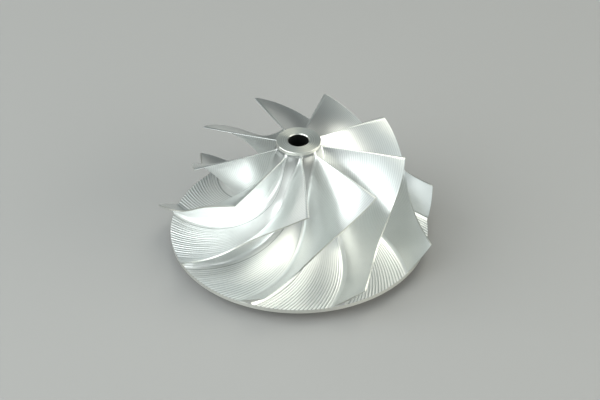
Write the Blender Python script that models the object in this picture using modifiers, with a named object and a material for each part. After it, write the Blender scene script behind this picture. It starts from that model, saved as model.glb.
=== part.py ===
"""Compressor wheel of a turbocharger, milled from one piece of aluminium.

Metres, +Z up along the shaft. The origin is the centre of the bore in the plane of the back boss, on which
the wheel stands, and the intake side with the nose looks up.
"""
import math

import bmesh
import bpy
import numpy as np

# Driving dimensions, in metres
MM = 0.001
BLADE_COUNT = 9
FIRST_BLADE_ANGLE = math.radians(-6.9)     # the first leading edge, from +X, counterclockwise from above

BORE_RADIUS = 3.0 * MM
BORE_CHAMFER = 0.3 * MM
NOSE_RADIUS = 6.45 * MM
NOSE_CHAMFER = 0.2 * MM

DISC_RADIUS = 38.3 * MM
RIM_THICKNESS = 1.4 * MM
RIM_TOP = 4.8 * MM                         # the disc's upper edge above the plane of the back boss
NOSE_HEIGHT = 31.6 * MM                    # the nose face above the disc's upper edge

BOSS_RADIUS = 9.5 * MM
BOSS_STEP = 1.0 * MM
BACK_ROOT_RADIUS = 10.3 * MM
BACK_ROOT_HEIGHT = 1.5 * MM                # the slightly conical back starts here, beside the boss

# The hub line and the shroud line of a blade, as Bezier points (radius, height above the disc's upper edge)
HUB_LINE = ((6.45, 29.7), (9.6, 24.1), (2.8, 3.9), (38.3, 0.0))
SHROUD_LINE = ((30.9, 27.1), (31.0, 14.9), (31.2, 8.8), (41.8, 6.1))
# How far the blade has turned along each line, as Bezier values in degrees, clockwise from above
HUB_WRAP = (2.3, -31.0, -34.9, -52.7, -68.6)
SHROUD_WRAP = (0.6, -25.8, -37.7, -50.3, -58.1)

TIP_THICKNESS = 0.5 * MM                   # along the shroud edge and along the leading edge
ROOT_THICKNESS = 1.2 * MM
EDGE_BLEND = 0.15                          # share of the length over which the leading edge grows to full thickness
HEEL_THICKNESS = 0.7 * MM                  # added to the clockwise side at the foot of the trailing edge
HEEL_START = 0.8                           # share of the length from which this heel grows
FILLET_AT_NOSE = 0.5 * MM
FILLET_AT_RIM = 1.8 * MM
FILLET_GROWTH = 0.35                       # share of the length over which the fillet reaches its full radius
ROOT_DEPTH = 0.8 * MM                      # how far a blade is sunk into the hub
ROOT_SETBACK = 0.3 * MM                    # and how far its sunk foot stays inside the rim

# How finely the surfaces are cut
HUB_STEPS = 72
HUB_POINTS = 12
BLADE_STATIONS = 18
SPAN_ROWS = 3
ARC_SAMPLES = 400
WELD = 0.00001

ALUMINIUM = (0.72, 0.74, 0.73, 1.0)
SHARP_ANGLE = math.radians(30)


def bezier(values, t):
    """Point of a Bezier curve at t, for numbers or for pairs of numbers."""
    points = [np.array(value, float) for value in values]
    while len(points) > 1:
        points = [a * (1 - t) + b * t for a, b in zip(points, points[1:])]
    return points[0]


class Meridian:
    """A line in the plane of radius and height, read at a share of its length."""

    def __init__(self, control):
        self.points = np.array([bezier(control, t) for t in np.linspace(0, 1, ARC_SAMPLES)]) * MM
        self.points[:, 1] += RIM_TOP
        steps = np.hypot(*np.diff(self.points, axis=0).T)
        self.share = np.concatenate([[0.0], np.cumsum(steps)]) / steps.sum()

    def at(self, share):
        """Radius and height at a share of the length."""
        radius = np.interp(share, self.share, self.points[:, 0])
        height = np.interp(share, self.share, self.points[:, 1])
        return np.array([radius, height])

    def inward(self, share):
        """Unit vector from the line into the hub, square to the line."""
        step = 0.01
        along = self.at(min(share + step, 1.0)) - self.at(max(share - step, 0.0))
        along /= np.linalg.norm(along)
        return np.array([along[1], -along[0]])


HUB = Meridian(HUB_LINE)
SHROUD = Meridian(SHROUD_LINE)


def fade(share, length):
    """0 at the start, rising smoothly to 1 at the given length."""
    x = min(max(share / length, 0.0), 1.0)
    return x * x * (3 - 2 * x)


def camber(share, span):
    """Radius, height and angle of the blade's middle surface; span is 0 on the hub and 1 on the shroud."""
    radius, height = HUB.at(share) * (1 - span) + SHROUD.at(share) * span
    angle = math.radians(float(bezier(HUB_WRAP, share) * (1 - span) + bezier(SHROUD_WRAP, share) * span))
    return radius, height, angle


def slant(share, span):
    """How much wider the blade is around the axis than square to its own surface."""
    step = 0.01
    low, high = max(share - step, 0.0), min(share + step, 1.0)
    r0, z0, a0 = camber(low, span)
    r1, z1, a1 = camber(high, span)
    along = math.hypot(r1 - r0, z1 - z0)
    around = (r0 + r1) / 2 * (a1 - a0)
    return math.hypot(1.0, around / along)


def heel(share, span, side):
    """What the blade's clockwise side, -1, gains near the trailing edge; it fades out towards the tip."""
    if side > 0:
        return 0.0
    return HEEL_THICKNESS * fade(share - HEEL_START, 1 - HEEL_START) * (1 - span * span)


def fillet_radius(share):
    return FILLET_AT_NOSE + (FILLET_AT_RIM - FILLET_AT_NOSE) * fade(share, FILLET_GROWTH)


def span_rows(share):
    """Span and extra half thickness of each row of points, from the sunk foot to the tip."""
    height = np.linalg.norm(SHROUD.at(share) - HUB.at(share))
    fillet = fillet_radius(share)
    corner = 1 - math.sqrt(0.5)
    rows = [(0.0, fillet), (corner * fillet / height, corner * fillet), (fillet / height, 0.0)]
    foot = fillet / height
    rows += [(foot + (1 - foot) * i / SPAN_ROWS, 0.0) for i in range(1, SPAN_ROWS + 1)]
    return rows


def blade_point(share, row, side):
    """A point on the blade's skin. Row 0 is the sunk foot, side is -1 or +1."""
    span, extra = span_rows(share)[max(row - 1, 0)]
    radius, height, angle = camber(share, span)
    full = TIP_THICKNESS + (ROOT_THICKNESS - TIP_THICKNESS) * fade(share, EDGE_BLEND) * (1 - span)
    half = (full / 2 + max(extra, heel(share, span, side))) * slant(share, span)
    turn = angle + side * half / radius
    if row == 0:
        into = HUB.inward(share) * ROOT_DEPTH
        radius += into[0]
        height += into[1]
    if row <= 1:
        radius = min(radius, DISC_RADIUS - ROOT_SETBACK)
    return radius, height, turn


def turned_hub(collection):
    """The hub and disc as one closed profile turned about the axis."""
    top = RIM_TOP + NOSE_HEIGHT
    profile = [
        (BORE_RADIUS + BORE_CHAMFER, top),
        (NOSE_RADIUS - NOSE_CHAMFER, top),
        (NOSE_RADIUS, top - NOSE_CHAMFER),
    ]
    profile += [tuple(HUB.at(i / HUB_POINTS)) for i in range(HUB_POINTS + 1)]
    profile += [
        (DISC_RADIUS, RIM_TOP - RIM_THICKNESS),
        (BACK_ROOT_RADIUS, BACK_ROOT_HEIGHT),
        (BOSS_RADIUS, BOSS_STEP),
        (BOSS_RADIUS, 0.0),
        (BORE_RADIUS + BORE_CHAMFER, 0.0),
        (BORE_RADIUS, BORE_CHAMFER),
        (BORE_RADIUS, top - BORE_CHAMFER),
    ]
    bm = bmesh.new()
    verts = [bm.verts.new((radius, 0.0, height)) for radius, height in profile]
    for a, b in zip(verts, verts[1:] + verts[:1]):
        bm.edges.new((a, b))
    mesh = bpy.data.meshes.new("compressor_wheel")
    bm.to_mesh(mesh)
    bm.free()
    hub = bpy.data.objects.new("compressor_wheel", mesh)
    collection.objects.link(hub)
    screw = hub.modifiers.new("turned", "SCREW")
    screw.steps = HUB_STEPS
    screw.render_steps = HUB_STEPS
    screw.use_merge_vertices = True
    screw.merge_threshold = WELD
    return hub


def blade_set(collection):
    """The nine blades, each a flat slab of faces that is bent to the camber surface."""
    rows = len(span_rows(0.0)) + 1
    bm = bmesh.new()
    for blade in range(BLADE_COUNT):
        start = FIRST_BLADE_ANGLE + blade * 2 * math.pi / BLADE_COUNT
        slab = bmesh.new()
        bmesh.ops.create_grid(slab, x_segments=BLADE_STATIONS, y_segments=rows - 1, size=0.5)
        sheet = bmesh.ops.extrude_face_region(slab, geom=slab.faces[:], use_keep_orig=True)
        lifted = [item for item in sheet["geom"] if isinstance(item, bmesh.types.BMVert)]
        bmesh.ops.translate(slab, verts=lifted, vec=(0.0, 0.0, 1.0))
        bmesh.ops.recalc_face_normals(slab, faces=slab.faces[:])
        for vert in slab.verts:
            share = vert.co.x + 0.5
            row = round((vert.co.y + 0.5) * (rows - 1))
            side = 1 if vert.co.z > 0.5 else -1
            radius, height, turn = blade_point(share, row, side)
            angle = start + turn
            vert.co = (radius * math.cos(angle), radius * math.sin(angle), height)
        bmesh.ops.recalc_face_normals(slab, faces=slab.faces[:])
        piece = bpy.data.meshes.new("blade_piece")
        slab.to_mesh(piece)
        slab.free()
        bm.from_mesh(piece)
        bpy.data.meshes.remove(piece)
    mesh = bpy.data.meshes.new("blade_set")
    bm.to_mesh(mesh)
    bm.free()
    blades = bpy.data.objects.new("blade_set", mesh)
    blades.hide_render = True
    blades.display_type = "WIRE"
    collection.objects.link(blades)
    return blades


def milled_aluminium():
    material = bpy.data.materials.new("milled_aluminium")
    material.use_nodes = True
    shader = material.node_tree.nodes["Principled BSDF"]
    shader.inputs["Base Color"].default_value = ALUMINIUM
    shader.inputs["Metallic"].default_value = 1.0
    shader.inputs["Roughness"].default_value = 0.35
    return material


def main():
    for old in list(bpy.data.objects):
        bpy.data.objects.remove(old)
    scene = bpy.context.scene
    parts = bpy.data.collections.new("turbocharger_compressor_wheel")
    cutters = bpy.data.collections.new("cutters")
    scene.collection.children.link(parts)
    scene.collection.children.link(cutters)

    wheel = turned_hub(parts)
    blades = blade_set(cutters)
    joined = wheel.modifiers.new("milled_in_one", "BOOLEAN")
    joined.operation = "UNION"
    joined.solver = "EXACT"
    joined.object = blades

    bpy.context.view_layer.update()
    depsgraph = bpy.context.evaluated_depsgraph_get()
    finished = bpy.data.meshes.new_from_object(wheel.evaluated_get(depsgraph))
    wheel.modifiers.clear()
    wheel.data = finished
    finished.name = "compressor_wheel"
    finished.materials.clear()
    finished.materials.append(milled_aluminium())
    finished.shade_smooth()
    finished.set_sharp_from_angle(angle=SHARP_ANGLE)


main()
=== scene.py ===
"""Looks of a turbocharger compressor wheel: milled blades and air passages, turned nose, rim and back.

Metres, +Z up along the shaft. The script is laid out as a Blender add-on and is run as a script.
"""
import math

import bmesh
import bpy
import numpy as np
from mathutils import Matrix, Vector


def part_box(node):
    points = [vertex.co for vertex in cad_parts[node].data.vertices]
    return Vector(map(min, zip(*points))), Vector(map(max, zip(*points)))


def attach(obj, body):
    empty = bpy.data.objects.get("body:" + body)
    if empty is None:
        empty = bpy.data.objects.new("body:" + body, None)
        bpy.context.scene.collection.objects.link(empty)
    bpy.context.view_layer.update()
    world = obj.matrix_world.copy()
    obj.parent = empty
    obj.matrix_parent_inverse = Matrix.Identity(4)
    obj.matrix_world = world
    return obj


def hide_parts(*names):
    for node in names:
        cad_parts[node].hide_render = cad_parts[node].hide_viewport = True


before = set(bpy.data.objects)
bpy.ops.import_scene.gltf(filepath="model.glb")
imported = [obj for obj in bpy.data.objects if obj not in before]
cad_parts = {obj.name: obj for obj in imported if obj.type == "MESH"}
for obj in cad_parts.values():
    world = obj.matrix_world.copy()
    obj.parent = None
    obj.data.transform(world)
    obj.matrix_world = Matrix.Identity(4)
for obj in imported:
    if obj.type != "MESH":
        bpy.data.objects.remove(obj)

bl_info = {
    "name": "Compressor Wheel",
    "version": (1, 0, 0),
    "blender": (4, 5, 0),
    "location": "View3D > Sidebar > Wheel",
    "description": "Builds the looks of a milled compressor wheel round its solid",
    "category": "Object",
}

MM = 0.001
BODY = "root"
SOLID = "compressor_wheel"
BOX_TOP = Vector(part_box(SOLID)[1]).z        # height of the solid's nose face

# The hub line and the shroud line of a blade, as Bezier points in mm: radius, height over the disc's upper edge
HUB_LINE = ((6.45, 29.7), (9.6, 24.1), (2.8, 3.9), (38.3, 0.0))
SHROUD_LINE = ((30.9, 27.1), (31.0, 14.9), (31.2, 8.8), (41.8, 6.1))
# How far a blade has turned along each line, as Bezier values in degrees
HUB_WRAP = (2.3, -31.0, -34.9, -52.7, -68.6)
SHROUD_WRAP = (0.6, -25.8, -37.7, -50.3, -58.1)
CURVE_SAMPLES = 800
PROBE = 0.004                              # the share of a line over which its slope is measured
EDGE_BLEND = 0.15                          # share over which a blade grows to its full thickness
FILLET_GROWTH = 0.35                       # share over which the root fillet grows to its full radius
HEEL_START = 0.8                           # share from which the heel at the trailing edge grows
WELD = 0.0005 * MM                         # points closer than this are one
SLIVER = 0.0002 * MM                       # faces thinner than this go


class WheelSizes(bpy.types.PropertyGroup):
    """Sizes of the whole wheel, as its solid has them, but for a slightly thinner blade edge."""

    blade_count: bpy.props.IntProperty(
        name="Blades", description="Number of blades round the hub", default=9, min=3)
    first_blade: bpy.props.FloatProperty(
        name="First blade", description="Angle of the first leading edge from +X",
        default=math.radians(-6.9), subtype="ANGLE", unit="ROTATION")
    disc_radius: bpy.props.FloatProperty(
        name="Disc radius", description="Radius of the disc behind the blades", default=38.3 * MM,
        subtype="DISTANCE", unit="LENGTH")
    rim_top: bpy.props.FloatProperty(
        name="Rim height", description="Height of the disc's upper edge", default=4.8 * MM,
        subtype="DISTANCE", unit="LENGTH")
    rim_thickness: bpy.props.FloatProperty(
        name="Rim thickness", description="Thickness of the disc at its rim", default=1.4 * MM,
        subtype="DISTANCE", unit="LENGTH")
    tip_thickness: bpy.props.FloatProperty(
        name="Blade edge", description="Thickness of a blade along its free edges", default=0.42 * MM,
        subtype="DISTANCE", unit="LENGTH")
    root_thickness: bpy.props.FloatProperty(
        name="Blade root", description="Thickness of a blade where it meets the hub", default=1.2 * MM,
        subtype="DISTANCE", unit="LENGTH")
    heel_thickness: bpy.props.FloatProperty(
        name="Heel", description="What the clockwise side gains at the foot of the trailing edge",
        default=0.7 * MM, subtype="DISTANCE", unit="LENGTH")


class TurnedSizes(bpy.types.PropertyGroup):
    """Sizes of the surfaces that are turned on a lathe; the chamfers are a little finer than the solid's."""

    nose_radius: bpy.props.FloatProperty(
        name="Nose radius", description="Radius of the nose boss", default=6.45 * MM,
        subtype="DISTANCE", unit="LENGTH")
    nose_chamfer: bpy.props.FloatProperty(
        name="Nose chamfer", description="Chamfer round the nose face", default=0.12 * MM,
        subtype="DISTANCE", unit="LENGTH")
    bore_radius: bpy.props.FloatProperty(
        name="Bore radius", description="Radius of the shaft bore", default=3.0 * MM,
        subtype="DISTANCE", unit="LENGTH")
    bore_chamfer: bpy.props.FloatProperty(
        name="Bore chamfer", description="Chamfer at either mouth of the bore", default=0.24 * MM,
        subtype="DISTANCE", unit="LENGTH")
    boss_radius: bpy.props.FloatProperty(
        name="Boss radius", description="Radius of the boss on the back", default=9.5 * MM,
        subtype="DISTANCE", unit="LENGTH")
    boss_step: bpy.props.FloatProperty(
        name="Boss step", description="How far the boss stands out of the back", default=1.0 * MM,
        subtype="DISTANCE", unit="LENGTH")
    back_root_radius: bpy.props.FloatProperty(
        name="Back root radius", description="Where the slightly conical back starts", default=10.3 * MM,
        subtype="DISTANCE", unit="LENGTH")
    back_root_height: bpy.props.FloatProperty(
        name="Back root height", description="Height of the back beside the boss", default=1.5 * MM,
        subtype="DISTANCE", unit="LENGTH")
    edge_break: bpy.props.FloatProperty(
        name="Edge break", description="Bevel on the turned edges", default=0.1 * MM,
        subtype="DISTANCE", unit="LENGTH")


class MillingMarks(bpy.types.PropertyGroup):
    """What the ball-ended cutter leaves on the passages and the blades.

    Real passes are a few hundredths of a millimetre deep and would not show at this scale. The cutter radii are
    small enough to draw them as deep as they need to be seen.
    """

    floor_passes: bpy.props.IntProperty(
        name="Floor passes", description="Cutter passes side by side on each passage floor",
        default=17, min=1)
    cutter_radius: bpy.props.FloatProperty(
        name="Cutter radius", description="Radius of the ball end, which sets how deep a pass is",
        default=0.66 * MM, subtype="DISTANCE", unit="LENGTH")
    blade_pitch: bpy.props.FloatProperty(
        name="Blade pitch", description="Distance between passes at a blade's leading edge",
        default=0.68 * MM, subtype="DISTANCE", unit="LENGTH")
    flank_radius: bpy.props.FloatProperty(
        name="Flank radius", description="Radius of the cutter's flank, which leaves the blades smoother",
        default=1.5 * MM, subtype="DISTANCE", unit="LENGTH")
    fillet_nose: bpy.props.FloatProperty(
        name="Fillet at nose", description="Root fillet radius beside the nose", default=0.5 * MM,
        subtype="DISTANCE", unit="LENGTH")
    fillet_rim: bpy.props.FloatProperty(
        name="Fillet at rim", description="Root fillet radius over most of a blade's anticlockwise side",
        default=1.8 * MM, subtype="DISTANCE", unit="LENGTH")
    fillet_clockwise: bpy.props.FloatProperty(
        name="Clockwise fillet", description="Root fillet radius over most of a blade's clockwise side",
        default=0.9 * MM, subtype="DISTANCE", unit="LENGTH")


def bezier(values, t):
    """Value of a Bezier curve at each t."""
    level = [np.multiply.outer(np.ones_like(t), value) for value in values]
    t = t.reshape(t.shape + (1,) * (level[0].ndim - t.ndim))
    while len(level) > 1:
        level = [a * (1 - t) + b * t for a, b in zip(level, level[1:])]
    return level[0]


class Meridian:
    """A line in the plane of radius and height, read at a share of its length; before 0 it runs on straight."""

    def __init__(self, control, lift):
        curve = bezier([np.array(point) * MM for point in control], np.linspace(0, 1, CURVE_SAMPLES))
        self.radius = curve[:, 0]
        self.height = curve[:, 1] + lift
        steps = np.hypot(np.diff(self.radius), np.diff(self.height))
        self.length = steps.sum()
        self.share = np.concatenate([[0.0], np.cumsum(steps)]) / self.length

    def at(self, share):
        """Radius and height at each share of the length; before 0 the line goes straight up."""
        radius = np.interp(share, self.share, self.radius)
        height = np.interp(share, self.share, self.height) + np.maximum(-share, 0.0) * self.length
        return radius, height

    def outward(self, share):
        """Unit vector out of the hub, square to the line."""
        r0, z0 = self.at(share - PROBE)
        r1, z1 = self.at(np.minimum(share + PROBE, 1.0))
        size = np.hypot(r1 - r0, z1 - z0)
        return -(z1 - z0) / size, (r1 - r0) / size


class BladeShape:
    """The surface that every blade follows, worked out from the wheel's sizes."""

    def __init__(self, sizes, marks):
        self.sizes = sizes
        self.marks = marks
        self.hub = Meridian(HUB_LINE, sizes.rim_top)
        self.shroud = Meridian(SHROUD_LINE, sizes.rim_top)

    def height(self, share):
        """Height of the blade above the hub line."""
        share = np.maximum(share, 0.0)
        r0, z0 = self.hub.at(share)
        r1, z1 = self.shroud.at(share)
        return np.hypot(r1 - r0, z1 - z0)

    def camber(self, share, span):
        """Radius, height and angle of the middle surface; span is 0 on the hub and 1 on the shroud."""
        r0, z0 = self.hub.at(share)
        r1, z1 = self.shroud.at(share)
        turn = np.maximum(share, 0.0)
        angle = bezier(HUB_WRAP, turn) * (1 - span) + bezier(SHROUD_WRAP, turn) * span
        return r0 * (1 - span) + r1 * span, z0 * (1 - span) + z1 * span, np.radians(angle)

    def slant(self, share, span):
        """How much wider the blade is round the axis than square to its own surface."""
        low = np.clip(share, 0.0, 1.0 - PROBE)
        r0, z0, a0 = self.camber(low, span)
        r1, z1, a1 = self.camber(low + PROBE, span)
        return np.hypot(1.0, (r0 + r1) / 2 * (a1 - a0) / np.hypot(r1 - r0, z1 - z0))

    def fillet(self, share, clockwise):
        """Radius of the root fillet on either side of a blade."""
        grow = smooth(share / FILLET_GROWTH)
        full = np.where(clockwise, self.marks.fillet_clockwise, self.marks.fillet_rim)
        return self.marks.fillet_nose + (full - self.marks.fillet_nose) * grow

    def half(self, share, span):
        """Half the blade's thickness, square to its surface."""
        gain = self.sizes.root_thickness - self.sizes.tip_thickness
        full = self.sizes.tip_thickness + gain * smooth(share / EDGE_BLEND) * (1 - span)
        return full / 2

    def heel(self, share, span):
        """What the clockwise side gains near the trailing edge."""
        return self.sizes.heel_thickness * smooth((share - HEEL_START) / (1 - HEEL_START)) * (1 - span**2)


def smooth(x):
    """0 below 0 and 1 above 1, with an even passage between."""
    x = np.clip(x, 0.0, 1.0)
    return x * x * (3 - 2 * x)


def sheet(name, columns, rows):
    """A flat grid of columns by rows, with each point's column and row number."""
    bm = bmesh.new()
    bmesh.ops.create_grid(bm, x_segments=columns - 1, y_segments=rows - 1, size=0.5)
    mesh = bpy.data.meshes.new(name)
    bm.to_mesh(mesh)
    bm.free()
    flat = np.empty(len(mesh.vertices) * 3)
    mesh.vertices.foreach_get("co", flat)
    flat = flat.reshape(-1, 3)
    column = np.rint((flat[:, 0] + 0.5) * (columns - 1)).astype(int)
    row = np.rint((flat[:, 1] + 0.5) * (rows - 1)).astype(int)
    return mesh, column, row


def place(mesh, points):
    """Moves every point of the mesh to its place."""
    mesh.vertices.foreach_set("co", np.ascontiguousarray(points, dtype=np.float32).ravel())
    mesh.update()


def mark_path(mesh, along, across, shade_and_roughness):
    """Stores the cutter's path: mm along a pass, passes counted across, and how much shade is painted on the metal
    and how much rougher it is.
    """
    path = mesh.attributes.new("path", "FLOAT_VECTOR", "POINT")
    path.data.foreach_set("vector", np.stack([along / MM, across, shade_and_roughness], axis=-1).astype(np.float32).ravel())


def faces_between(mesh, number, low, high):
    """Which of a sheet's faces have all their points' numbers from low to high."""
    corners = np.empty(len(mesh.loops), dtype=np.int32)
    mesh.loops.foreach_get("vertex_index", corners)
    numbers = number[corners].reshape(-1, 4)
    return (numbers.min(axis=1) >= low) & (numbers.max(axis=1) <= high)


def uneven(number):
    """How deep each pass is against the others, from 0.85 to 1.15."""
    return 1 + 0.1 * np.sin(2.4 * number) + 0.05 * np.sin(5.3 * number + 1.0)


def round_axis(radius, angle, height):
    """Points from radius, angle from +X and height."""
    return np.stack([radius * np.cos(angle), radius * np.sin(angle), height], axis=-1)


def finish_piece(name, mesh, materials, sharp):
    """Closes the seams, points the faces out and adds the piece to the wheel."""
    bm = bmesh.new()
    bm.from_mesh(mesh)
    bmesh.ops.remove_doubles(bm, verts=bm.verts[:], dist=WELD)
    bmesh.ops.dissolve_degenerate(bm, edges=bm.edges[:], dist=SLIVER)
    bmesh.ops.recalc_face_normals(bm, faces=bm.faces[:])
    if bm.calc_volume(signed=True) < 0:
        bmesh.ops.reverse_faces(bm, faces=bm.faces[:])
    open_edges = sum(1 for edge in bm.edges if len(edge.link_faces) != 2)
    triangles = sum(len(face.verts) - 2 for face in bm.faces)
    bm.to_mesh(mesh)
    bm.free()
    print(f"{name}: {triangles} triangles, {open_edges} open edges")
    mesh.shade_smooth()
    mesh.set_sharp_from_angle(angle=sharp)
    for material in materials:
        mesh.materials.append(material)
    piece = bpy.data.objects.new(name, mesh)
    bpy.context.scene.collection.objects.link(piece)
    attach(piece, BODY)
    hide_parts(SOLID)
    return piece


# Passages: the hub's milled surface, from the nose to the rim

FILLET_POINTS = 7
GROOVE = 16.0                              # degrees that a root pass runs on below the floor, up to its crease
PASS_POINTS = 6
STATIONS = 58
LEAD_IN = 8                                # rows on the nose above the leading edges, where the fillets run out
LEAD_MARGIN = 1.1                          # how far those rows reach, as a share of the fillets' reach
NOSE_REACH = 1.6                           # how much further the fillets run up the nose than they are wide
CORE_INSET = 0.5 * MM                      # how far the closing rows lie inside the nose
NOSE_SHADE_LENGTH = 9 * MM                       # how far from the leading edges shade is painted into the passages, which are also rougher there
NOSE_SHADE_AND_ROUGHNESS = 0.6                                 # how much shade is painted into them beside the nose, with more roughness, where 1 is the darkest, roughest metal
RIDGES_FROM = 14 * MM                      # radius from which the ridges between passes show
RIDGES_CLEAR = 32 * MM                     # radius where they are at their clearest
INNER_DEPTH = 0.3                          # depth of the passes inside RIDGES_FROM, against those at the rim
RIDGE_SHADE_AND_ROUGHNESS = 0.54                          # how much shade is painted on the ridges between passes, which are also rougher
CREASE_SHADE_AND_ROUGHNESS = 0.65                         # how much shade is painted into a crease away from the nose, and how much rougher it is
CLOCKWISE_CREASE_SHADE = 0.25                        # the same beside a blade's clockwise side
PASSAGE_SHIFT = 7                          # makes the passes uneven in another order in each passage
RIM_LAP = 0.15 * MM                        # how far the milled surface runs down the rim, over the turned band
HUB_SHARP = math.radians(24)


def passage_columns(passes):
    """The columns across one passage, as a kind and a value for each.

    Kind 0 lies inside the first blade, 1 is its fillet, 2 the floor and 3 the next blade's fillet. The value is an
    angle round a fillet or a share of the floor's width.
    """
    fillet = np.radians(np.concatenate([np.linspace(0, 90, FILLET_POINTS), [90 + GROOVE / 2, 90 + GROOVE]]))
    floor = np.arange(1, passes * PASS_POINTS) / (passes * PASS_POINTS)
    kind = np.repeat([0, 1, 2, 3], [1, len(fillet), len(floor), len(fillet)])
    value = np.concatenate([[0.0], fillet, floor, fillet[::-1]])
    return kind, value


def floor_end(shape, share, height, slant, clockwise):
    """Where a root pass ends at the floor: how high, at what radius and turn, and how far round from the blade."""
    last = math.pi / 2 + math.radians(GROOVE)
    root = shape.fillet(share, clockwise)
    rise = root * (1 - math.sin(last))
    radius, _, turn = shape.camber(share, rise / height)
    away = shape.half(np.maximum(share, 0.0), 0.0) + root * (1 - math.cos(last))
    return rise, radius, turn, away * slant / radius


def hub_points(shape, share, kind, value, start, step):
    """Places points of the milled hub; start is the angle of the passage's first blade, step that to the next."""
    marks = shape.marks
    fillet = shape.fillet(share, kind == 3)
    height = shape.height(share)
    ahead = np.maximum(-share, 0.0) * shape.hub.length / NOSE_REACH
    # distance from the blade's foot and height above the hub, for both fillets
    up = fillet * (1 - np.sin(value))
    away = np.where((kind == 0) | (kind == 2), 0.0, fillet * (1 - np.cos(value)))
    away = np.where(kind == 3, np.maximum(away, shape.heel(share, up / height)), away)
    reach = np.hypot(away, ahead)
    arc = fillet - np.sqrt(np.maximum(fillet**2 - (fillet - np.minimum(reach, fillet))**2, 0.0))
    past = (kind != 0) & (value > math.pi / 2)
    rise = np.where(past, up, arc)
    rise = np.where(kind == 2, 0.0, rise)
    span = rise / height
    radius, level, turn = shape.camber(share, span)
    wide = (shape.half(np.maximum(share, 0.0), span) + away) * shape.slant(share, span) / radius
    left = start + turn + wide
    right = start + step + turn - wide
    # the floor lies between the outer ends of the two root passes
    slant = shape.slant(share, 0.0)
    rise0, _, turn0, wide0 = floor_end(shape, share, height, slant, False)
    rise1, radius1, turn1, wide1 = floor_end(shape, share, height, slant, True)
    angle0 = start + turn0 + wide0
    angle1 = start + step + turn1 - wide1
    edge_rise = rise0 + (rise1 - rise0) * value
    pitch = (angle1 - angle0) * radius1 / slant / marks.floor_passes
    out_r, out_z = shape.hub.outward(share)
    base_r, base_z = shape.hub.at(share)
    # further in the cutter tilts along with its passes, so their ridges are lower and hardly show
    clear = smooth((base_r - RIDGES_FROM) / (RIDGES_CLEAR - RIDGES_FROM))
    depth = pitch**2 / (8 * marks.cutter_radius) * (INNER_DEPTH + (1 - INNER_DEPTH) * clear)
    across = value * marks.floor_passes
    cell = across % 1.0
    drop = edge_rise - depth * uneven(np.floor(across) + PASSAGE_SHIFT * start) * 4 * cell * (1 - cell)
    floor = kind == 2
    radius = np.where(floor, base_r + out_r * drop, radius)
    level = np.where(floor, base_z + out_z * drop, level)
    angle = np.where(kind == 3, right, left)
    angle = np.where(kind == 0, start + turn, angle)
    angle = np.where(floor, angle0 + (angle1 - angle0) * value, angle)
    # near the nose the passages are narrow and the cutter slow, which leaves them rougher; painted shade darkens
    # them, and their creases more
    near = 1 - smooth(share * shape.hub.length / NOSE_SHADE_LENGTH)
    # elsewhere less shade is painted into the crease beside a blade's clockwise side than into the other
    painted_shade = np.where(kind == 3, CLOCKWISE_CREASE_SHADE, CREASE_SHADE_AND_ROUGHNESS)
    crease = np.clip((value - math.pi / 2) / math.radians(GROOVE), 0.0, 1.0) * (painted_shade + (1 - painted_shade) * near)
    nose_shade_and_roughness = NOSE_SHADE_AND_ROUGHNESS * near * np.where(floor, 1.0, smooth(value / (math.pi / 2)))
    # painted shade and more roughness on the ridges between passes, in the creases and near the nose
    shade_and_roughness = np.maximum(np.where(floor, RIDGE_SHADE_AND_ROUGHNESS * np.abs(2 * cell - 1) ** 3 * clear, crease), nose_shade_and_roughness)
    return radius, angle, level, np.where(floor, across, 0.0), shade_and_roughness


class MESH_OT_mill_hub(bpy.types.Operator):
    """Mill the hub: nine passages of round-bottomed cutter passes between the blade roots"""

    bl_idname = "mesh.mill_hub"
    bl_label = "Mill hub"

    def execute(self, context):
        sizes = context.scene.wheel_sizes
        turned = context.scene.turned_sizes
        marks = context.scene.milling_marks
        shape = BladeShape(sizes, marks)
        kind, value = passage_columns(marks.floor_passes)
        per_passage = len(kind)
        columns = per_passage * sizes.blade_count + 1
        reach = LEAD_MARGIN * NOSE_REACH * marks.fillet_nose / shape.hub.length
        lead = -np.linspace(1, 0, LEAD_IN + 1)[:-1] ** 2 * reach
        share_rows = np.concatenate([lead, np.linspace(0, 1, STATIONS)])
        rows = len(share_rows)
        # two more rows at either end close the surface inside the metal, after a short lap over the rim
        mesh, column, row = sheet("milled_hub", columns, rows + 4)
        step = 2 * math.pi / sizes.blade_count
        blade = column // per_passage
        within = column % per_passage
        share = share_rows[np.clip(row - 2, 0, rows - 1)]
        start = sizes.first_blade + blade * step
        radius, angle, level, across, shade_and_roughness = hub_points(
            shape, share, kind[within], value[within], start, step)
        radius = np.where((row == 0) | (row == rows + 3), turned.nose_radius - 2 * CORE_INSET, radius)
        radius = np.where(row == 1, turned.nose_radius - CORE_INSET, radius)
        radius = np.where(row == rows + 2, sizes.disc_radius, radius)
        level = np.where(row > rows + 1, sizes.rim_top - RIM_LAP, level)
        place(mesh, round_axis(radius, angle, level))
        mark_path(mesh, share * shape.hub.length, across, shade_and_roughness)
        bm = bmesh.new()
        bm.from_mesh(mesh)
        bmesh.ops.remove_doubles(bm, verts=bm.verts[:], dist=WELD)
        rims = [edge for edge in bm.edges if len(edge.link_faces) == 1]
        bmesh.ops.bridge_loops(bm, edges=rims)
        bm.to_mesh(mesh)
        bm.free()
        finish_piece("milled_hub", mesh, [milled_aluminium()], HUB_SHARP)
        return {"FINISHED"}


# Blades

BLADE_STATIONS = 60
STATION_BIAS = 1.15                        # above 1 it sets the stations closer together near the leading edge
EDGE_ROUND = 5                             # columns of points round the leading edge
LINE_POINTS = 4
TIP_POINTS = 2
FOOT_SHARE = 0.9                           # where a blade starts, as a share of the smaller fillet's height
FOOT_LIMIT = 0.5                           # and at most, as a share of the blade's height
LINE_SHADE_AND_ROUGHNESS = 0.18                           # how much shade is painted on the lines between a blade's passes, which are also rougher
BLADE_SHARP = math.radians(40)


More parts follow.
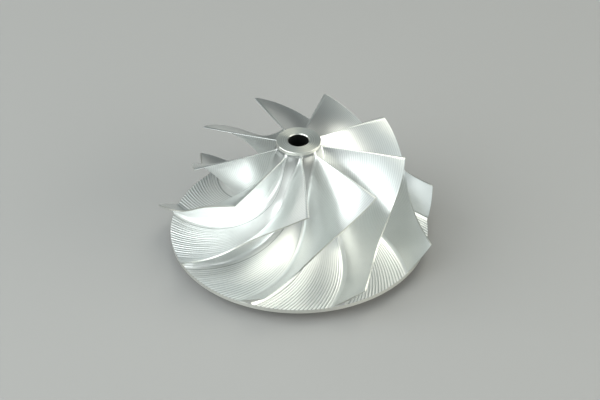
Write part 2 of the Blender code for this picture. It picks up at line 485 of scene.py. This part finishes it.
class MESH_OT_mill_blades(bpy.types.Operator):
    """Mill the blades: thin twisted blades with the cutter's fine lines along the air's path"""

    bl_idname = "mesh.mill_blades"
    bl_label = "Mill blades"

    def execute(self, context):
        sizes = context.scene.wheel_sizes
        marks = context.scene.milling_marks
        shape = BladeShape(sizes, marks)
        lines = round(float(shape.height(np.array(0.0))) / marks.blade_pitch)
        side_rows = lines * LINE_POINTS
        spans = np.linspace(0, 1, side_rows + 1)
        # up one side, over the tip, down the other; the first and last rows lie on the middle surface
        span_rows = np.concatenate([[0.0], spans, np.ones(TIP_POINTS - 1), spans[::-1], [0.0]])
        side_of_row = np.concatenate([
            [0.0], np.full(len(spans), -1.0), np.linspace(-1, 1, TIP_POINTS + 1)[1:-1],
            np.full(len(spans), 1.0), [0.0]])
        lead = sizes.tip_thickness / 2 / shape.hub.length
        curl = np.radians(np.linspace(0, 90, EDGE_ROUND + 1))[:-1]
        stations = np.linspace(0, 1, BLADE_STATIONS) ** STATION_BIAS
        share_columns = np.concatenate([lead * (1 - np.cos(curl)), lead + (1 - lead) * stations, [1.0]])
        thin_columns = np.concatenate([np.sin(curl), np.ones(BLADE_STATIONS), [0.0]])
        for blade in range(sizes.blade_count):
            start = sizes.first_blade + blade * 2 * math.pi / sizes.blade_count
            mesh, column, row = sheet(f"blade_{blade + 1}", len(share_columns), len(span_rows))
            share = share_columns[column]
            height = shape.height(share)
            foot = shape.fillet(share, True) / height
            foot = np.minimum(foot * FOOT_SHARE, FOOT_LIMIT)
            rise = span_rows[row]
            span = foot + (1 - foot) * rise
            radius, level, turn = shape.camber(share, span)
            pitch = height * (1 - foot) / lines
            depth = pitch**2 / (8 * marks.flank_radius)
            across = rise * lines
            cell = across % 1.0
            side = side_of_row[row]
            half = shape.half(share, span) + shape.heel(share, span) * (side < 0)
            half = half - depth * uneven(np.floor(across) + blade) * 4 * cell * (1 - cell)
            half = half * thin_columns[column] * side
            angle = start + turn + half * shape.slant(share, span) / radius
            place(mesh, round_axis(radius, angle, level))
            # the lines between passes get painted shade and more roughness
            mark_path(mesh, share * shape.hub.length, across, LINE_SHADE_AND_ROUGHNESS * np.abs(2 * cell - 1) ** 2)
            # the tips and the trailing edges were turned before the blades were milled out
            last = len(share_columns) - 1
            turned = faces_between(mesh, row, len(spans), len(spans) + TIP_POINTS)
            turned |= faces_between(mesh, column, last - 1, last)
            mesh.polygons.foreach_set("material_index", turned.astype(np.int32))
            finish_piece(f"blade_{blade + 1}", mesh, [milled_aluminium(), turned_aluminium()], BLADE_SHARP)
        return {"FINISHED"}


# Nose, bore, rim and back

ENDS_STEPS = 180                           # steps round the axis
BORE_MARGIN = 0.01 * MM                    # how far past its radius a face still counts as the bore's
BAND_SHARE = 0.8                           # where the turned band starts, as a share of the milled surface's lap
ENDS_SHARP = math.radians(20)


class MESH_OT_turn_ends(bpy.types.Operator):
    """Turn the nose, the bore, the back and its boss on a lathe"""

    bl_idname = "mesh.turn_ends"
    bl_label = "Turn nose, bore and back"

    def execute(self, context):
        sizes = context.scene.wheel_sizes
        turned = context.scene.turned_sizes
        top = BOX_TOP
        bottom = sizes.rim_top - sizes.rim_thickness
        band = sizes.rim_top - BAND_SHARE * RIM_LAP
        neck = sizes.rim_top + HUB_LINE[0][1] * MM
        core = turned.nose_radius
        small = turned.edge_break
        profile = [
            (turned.bore_radius + turned.bore_chamfer, top),
            (core - turned.nose_chamfer, top),
            (core, top - turned.nose_chamfer),
            (core, neck),
            (core - CORE_INSET, neck - CORE_INSET),
            (core - CORE_INSET, bottom + CORE_INSET),
            (sizes.disc_radius - CORE_INSET, bottom + CORE_INSET),
            (sizes.disc_radius - CORE_INSET, band),
            (sizes.disc_radius, band),
            (sizes.disc_radius, bottom + small),
            (sizes.disc_radius - small, bottom),
            (turned.back_root_radius, turned.back_root_height),
            (turned.boss_radius, turned.boss_step),
            (turned.boss_radius, small),
            (turned.boss_radius - small, 0.0),
            (turned.bore_radius + turned.bore_chamfer, 0.0),
            (turned.bore_radius, turned.bore_chamfer),
            (turned.bore_radius, top - turned.bore_chamfer),
        ]
        bm = bmesh.new()
        verts = [bm.verts.new((radius, 0.0, height)) for radius, height in profile]
        edges = [bm.edges.new(pair) for pair in zip(verts, verts[1:] + verts[:1])]
        bmesh.ops.spin(bm, geom=verts + edges, cent=(0, 0, 0), axis=(0, 0, 1), angle=2 * math.pi,
                       steps=ENDS_STEPS, use_merge=True)
        for face in bm.faces:
            if max(vert.co.xy.length for vert in face.verts) < turned.bore_radius + BORE_MARGIN:
                face.material_index = 1
        mesh = bpy.data.meshes.new("turned_ends")
        bm.to_mesh(mesh)
        bm.free()
        finish_piece("turned_ends", mesh, [turned_aluminium(), reamed_aluminium()], ENDS_SHARP)
        return {"FINISHED"}


def linear(colour):
    """Linear colour from an sRGB hex value such as #C8CCC9."""
    parts = [int(colour[i:i + 2], 16) / 255 for i in (1, 3, 5)]
    values = [part / 12.92 if part <= 0.04045 else ((part + 0.055) / 1.055) ** 2.4 for part in parts]
    return (*values, 1.0)


def add_node(tree, kind, links=(), **settings):
    """Adds a node; settings are its attributes or its inputs, by name; links are (input, socket)."""
    node = tree.nodes.new(kind)
    for key, value in settings.items():
        if hasattr(node, key):
            setattr(node, key, value)
        else:
            node.inputs[key.replace("_", " ")].default_value = value
    for target, source in links:
        tree.links.new(source, node.inputs[target])
    return node


def new_metal(name):
    """A bare metal to build on: its node tree and its shader."""
    material = bpy.data.materials.new(name)
    material.use_nodes = True
    shader = material.node_tree.nodes["Principled BSDF"]
    shader.inputs["Metallic"].default_value = 1.0
    return material, material.node_tree, shader


def milled_aluminium():
    """Bright aluminium off a ball-ended cutter."""
    name = "five_axis_milled_aluminium"
    if name in bpy.data.materials:
        return bpy.data.materials[name]
    material, tree, shader = new_metal(name)
    path = add_node(tree, "ShaderNodeAttribute", attribute_name="path")
    split = add_node(tree, "ShaderNodeSeparateXYZ", [(0, path.outputs["Vector"])])
    # streaks 8 mm long and a quarter of a pass wide, where the cutter dragged chips along its pass
    stretched = add_node(tree, "ShaderNodeVectorMath", [(0, path.outputs["Vector"])], operation="MULTIPLY")
    stretched.inputs[1].default_value = (1 / 8.0, 4.0, 0.0)
    streaks = add_node(tree, "ShaderNodeTexNoise", [("Vector", stretched.outputs[0])], Scale=1.0, Detail=2.0)
    # painted shade: where the path's third value is high the metal is painted darker and is also rougher; this
    # darkens the ridges between passes, the creases and the narrow passages near the nose
    painted_shade = add_node(tree, "ShaderNodeMapRange", [(0, split.outputs["Z"])], From_Min=0.0, From_Max=1.0)
    tone = add_node(tree, "ShaderNodeMix", [(0, painted_shade.outputs[0])], data_type="RGBA")
    tone.inputs[6].default_value = linear("#FBFDFC")
    tone.inputs[7].default_value = linear("#5C6160")
    shade = add_node(tree, "ShaderNodeMapRange", [(0, streaks.outputs[0])], From_Min=0.3, From_Max=0.7,
                     To_Min=0.975, To_Max=1.0)
    colour = add_node(tree, "ShaderNodeVectorMath", [(0, tone.outputs[2]), ("Scale", shade.outputs[0])],
                      operation="SCALE")
    tree.links.new(colour.outputs[0], shader.inputs["Base Color"])
    # where chips were dragged the metal is a little rougher, which blurs the reflection in streaks
    worn = add_node(tree, "ShaderNodeMapRange", [(0, streaks.outputs[0])], From_Min=0.3, From_Max=0.7,
                    To_Min=0.325, To_Max=0.295)
    rough = add_node(tree, "ShaderNodeMath", [(0, split.outputs["Z"]), (2, worn.outputs[0])],
                     operation="MULTIPLY_ADD")
    rough.inputs[1].default_value = 0.16
    tree.links.new(rough.outputs[0], shader.inputs["Roughness"])
    return material


def turned_aluminium():
    """Aluminium off a lathe: fine rings round the axis."""
    name = "turned_aluminium"
    if name in bpy.data.materials:
        return bpy.data.materials[name]
    material, tree, shader = new_metal(name)
    where = add_node(tree, "ShaderNodeTexCoord")
    flat = add_node(tree, "ShaderNodeVectorMath", [(0, where.outputs["Object"])], operation="MULTIPLY")
    flat.inputs[1].default_value = (1.0, 1.0, 0.0)
    radius = add_node(tree, "ShaderNodeVectorMath", [(0, flat.outputs[0])], operation="LENGTH")
    # rings about 0.3 mm apart, from the tool's feed
    scaled = add_node(tree, "ShaderNodeMath", [(0, radius.outputs["Value"])], operation="MULTIPLY")
    scaled.inputs[1].default_value = 1 / (0.3 * MM)
    rings = add_node(tree, "ShaderNodeTexNoise", [("W", scaled.outputs[0])], noise_dimensions="1D", Scale=1.0,
                     Detail=2.0)
    tone = add_node(tree, "ShaderNodeMix", [(0, rings.outputs[0])], data_type="RGBA")
    tone.inputs[6].default_value = linear("#CBCDC8")
    tone.inputs[7].default_value = linear("#FAFBF4")
    tree.links.new(tone.outputs[2], shader.inputs["Base Color"])
    rough = add_node(tree, "ShaderNodeMapRange", [(0, rings.outputs[0])], To_Min=0.36, To_Max=0.28)
    tree.links.new(rough.outputs[0], shader.inputs["Roughness"])
    # the rings spread a reflection out from the axis, which gives the bright wedges of a turned face
    around = add_node(tree, "ShaderNodeTangent", direction_type="RADIAL", axis="Z")
    tree.links.new(around.outputs[0], shader.inputs["Tangent"])
    shader.inputs["Anisotropic"].default_value = 0.8
    shader.inputs["Anisotropic Rotation"].default_value = 0.25
    return material


def reamed_aluminium():
    """Reamed bore, painted a darker grey for the shade deep in the hole; the depth of the hole makes it nearly
    black.
    """
    material, tree, shader = new_metal("reamed_aluminium_painted_shade")
    where = add_node(tree, "ShaderNodeTexCoord")
    # lines 0.15 mm apart along the bore, from the reamer's feed
    stretched = add_node(tree, "ShaderNodeVectorMath", [(0, where.outputs["Object"])], operation="MULTIPLY")
    stretched.inputs[1].default_value = (0.0, 0.0, 1 / (0.15 * MM))
    lines = add_node(tree, "ShaderNodeTexNoise", [("Vector", stretched.outputs[0])], Scale=1.0, Detail=1.0)
    tone = add_node(tree, "ShaderNodeMix", [(0, lines.outputs[0])], data_type="RGBA")
    # painted shade: a darker grey than the other aluminium
    tone.inputs[6].default_value = linear("#848786")
    tone.inputs[7].default_value = linear("#9EA1A0")
    tree.links.new(tone.outputs[2], shader.inputs["Base Color"])
    shader.inputs["Roughness"].default_value = 0.3
    return material


# Stage

# The camera as it was fitted to the picture, and the picture's size
PHOTO_WIDTH = 600
PHOTO_HEIGHT = 400
SENSOR_WIDTH = 36.0
FOCAL_PIXELS = 1921.2
CAMERA_DISTANCE = 0.5730
CAMERA_ELEVATION = math.radians(38.17)
CAMERA_TURN = math.radians(-1.1)
CAMERA_ROLL = math.radians(0.42)
WHEEL_PIXEL = (298.96, 226.10)             # where the centre of the disc's upper edge stands in the picture
FLOOR_SIZE = 3.0                           # metres from the floor's middle to its sides
AIM = Vector((0.0, 0.0, 0.018))            # the middle of the wheel, which every softbox faces
# name, azimuth from the camera towards its right and elevation in degrees, distance, width and height in metres,
# radiance, colour
SOFTBOXES = (
    ("left_softbox", -66, 31, 0.80, 1.20, 0.80, 2.50, "#FAFFFD"),
    ("right_softbox", 65, 18, 0.80, 1.10, 0.52, 2.70, "#FFFDF1"),
    ("back_softbox", 144, 64, 0.80, 0.40, 0.48, 2.00, "#FFFCEA"),
    ("low_back_softbox", -136, 25, 0.80, 0.22, 0.50, 0.95, "#FDFFF8"),
    ("front_softbox", -25, 64, 0.80, 0.36, 0.28, 0.80, "#FAFFFD"),
)


class SCENE_OT_set_stage(bpy.types.Operator):
    """Set the floor, the lights and the camera"""

    bl_idname = "scene.set_stage"
    bl_label = "Set stage"

    def execute(self, context):
        scene = context.scene
        self.floor()
        self.lights()
        self.world(scene)
        self.camera(scene)
        return {"FINISHED"}

    def floor(self):
        bm = bmesh.new()
        bmesh.ops.create_grid(bm, x_segments=2, y_segments=2, size=FLOOR_SIZE)
        mesh = bpy.data.meshes.new("floor")
        bm.to_mesh(mesh)
        bm.free()
        material = bpy.data.materials.new("pale_floor")
        material.use_nodes = True
        shader = material.node_tree.nodes["Principled BSDF"]
        shader.inputs["Base Color"].default_value = linear("#A9A8A8")
        shader.inputs["Roughness"].default_value = 0.8
        mesh.materials.append(material)
        floor = bpy.data.objects.new("floor", mesh)
        bpy.context.scene.collection.objects.link(floor)

    def lights(self):
        for box in SOFTBOXES:
            self.softbox(*box)

    def softbox(self, name, azimuth, elevation, distance, width, height, radiance, colour):
        """One rectangular softbox that faces the wheel."""
        data = bpy.data.lights.new(name, "AREA")
        data.shape = "RECTANGLE"
        data.size = width
        data.size_y = height
        data.energy = radiance * math.pi * width * height
        data.color = linear(colour)[:3]
        light = bpy.data.objects.new(name, data)
        turn = math.radians(azimuth) + CAMERA_TURN
        rise = math.radians(elevation)
        toward = Vector((math.sin(turn) * math.cos(rise), -math.cos(turn) * math.cos(rise), math.sin(rise)))
        light.location = AIM + toward * distance
        light.rotation_euler = toward.to_track_quat("Z", "Y").to_euler()
        bpy.context.scene.collection.objects.link(light)

    def world(self, scene):
        world = bpy.data.worlds.new("studio")
        world.use_nodes = True
        tree = world.node_tree
        back = tree.nodes["Background"]
        back.inputs["Color"].default_value = linear("#DFEAEA")
        where = add_node(tree, "ShaderNodeTexCoord")
        split = add_node(tree, "ShaderNodeSeparateXYZ", [(0, where.outputs["Generated"])])
        # dim at the horizon, bright overhead
        level = add_node(tree, "ShaderNodeMapRange", [(0, split.outputs["Z"])],
                         interpolation_type="SMOOTHSTEP", From_Min=0.0, From_Max=2.0, To_Min=0.12, To_Max=1.4)
        tree.links.new(level.outputs[0], back.inputs["Strength"])
        scene.world = world

    def camera(self, scene):
        data = bpy.data.cameras.new("camera")
        data.sensor_width = SENSOR_WIDTH
        data.lens = FOCAL_PIXELS * SENSOR_WIDTH / PHOTO_WIDTH
        data.clip_start = 0.01
        camera = bpy.data.objects.new("camera", data)
        sizes = scene.wheel_sizes
        centre = Vector((0, 0, sizes.rim_top))
        back = Vector((0, -math.cos(CAMERA_ELEVATION), math.sin(CAMERA_ELEVATION)))
        look = back.to_track_quat("Z", "Y").to_matrix()
        yaw = math.atan2(WHEEL_PIXEL[0] - PHOTO_WIDTH / 2, FOCAL_PIXELS)
        pitch = math.atan2(PHOTO_HEIGHT / 2 - WHEEL_PIXEL[1], FOCAL_PIXELS)
        turn = Matrix.Rotation(yaw, 3, "Y") @ Matrix.Rotation(-pitch, 3, "X")
        turn = turn @ Matrix.Rotation(-CAMERA_ROLL, 3, "Z")
        matrix = (look @ turn).to_4x4()
        matrix.translation = centre + back * CAMERA_DISTANCE
        camera.matrix_world = Matrix.Rotation(CAMERA_TURN, 4, "Z") @ matrix
        scene.collection.objects.link(camera)
        scene.camera = camera
        scene.view_settings.view_transform = "Standard"


class VIEW3D_PT_wheel(bpy.types.Panel):
    """The wheel's sizes and its building steps"""

    bl_idname = "VIEW3D_PT_wheel"
    bl_label = "Compressor wheel"
    bl_space_type = "VIEW_3D"
    bl_region_type = "UI"
    bl_category = "Wheel"

    def draw(self, context):
        layout = self.layout
        for group in (context.scene.wheel_sizes, context.scene.turned_sizes, context.scene.milling_marks):
            box = layout.box()
            for name in group.__annotations__:
                box.prop(group, name)
        for step in STEPS:
            layout.operator(step.bl_idname)


STEPS = (MESH_OT_mill_hub, MESH_OT_mill_blades, MESH_OT_turn_ends, SCENE_OT_set_stage)
CLASSES = (WheelSizes, TurnedSizes, MillingMarks, *STEPS, VIEW3D_PT_wheel)


def register():
    for item in CLASSES:
        bpy.utils.register_class(item)
    bpy.types.Scene.wheel_sizes = bpy.props.PointerProperty(type=WheelSizes)
    bpy.types.Scene.turned_sizes = bpy.props.PointerProperty(type=TurnedSizes)
    bpy.types.Scene.milling_marks = bpy.props.PointerProperty(type=MillingMarks)


def unregister():
    del bpy.types.Scene.milling_marks
    del bpy.types.Scene.turned_sizes
    del bpy.types.Scene.wheel_sizes
    for item in reversed(CLASSES):
        bpy.utils.unregister_class(item)


def main():
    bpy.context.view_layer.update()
    register()
    bpy.ops.mesh.mill_hub()
    bpy.ops.mesh.mill_blades()
    bpy.ops.mesh.turn_ends()
    bpy.ops.scene.set_stage()


if __name__ == "__main__":
    main()
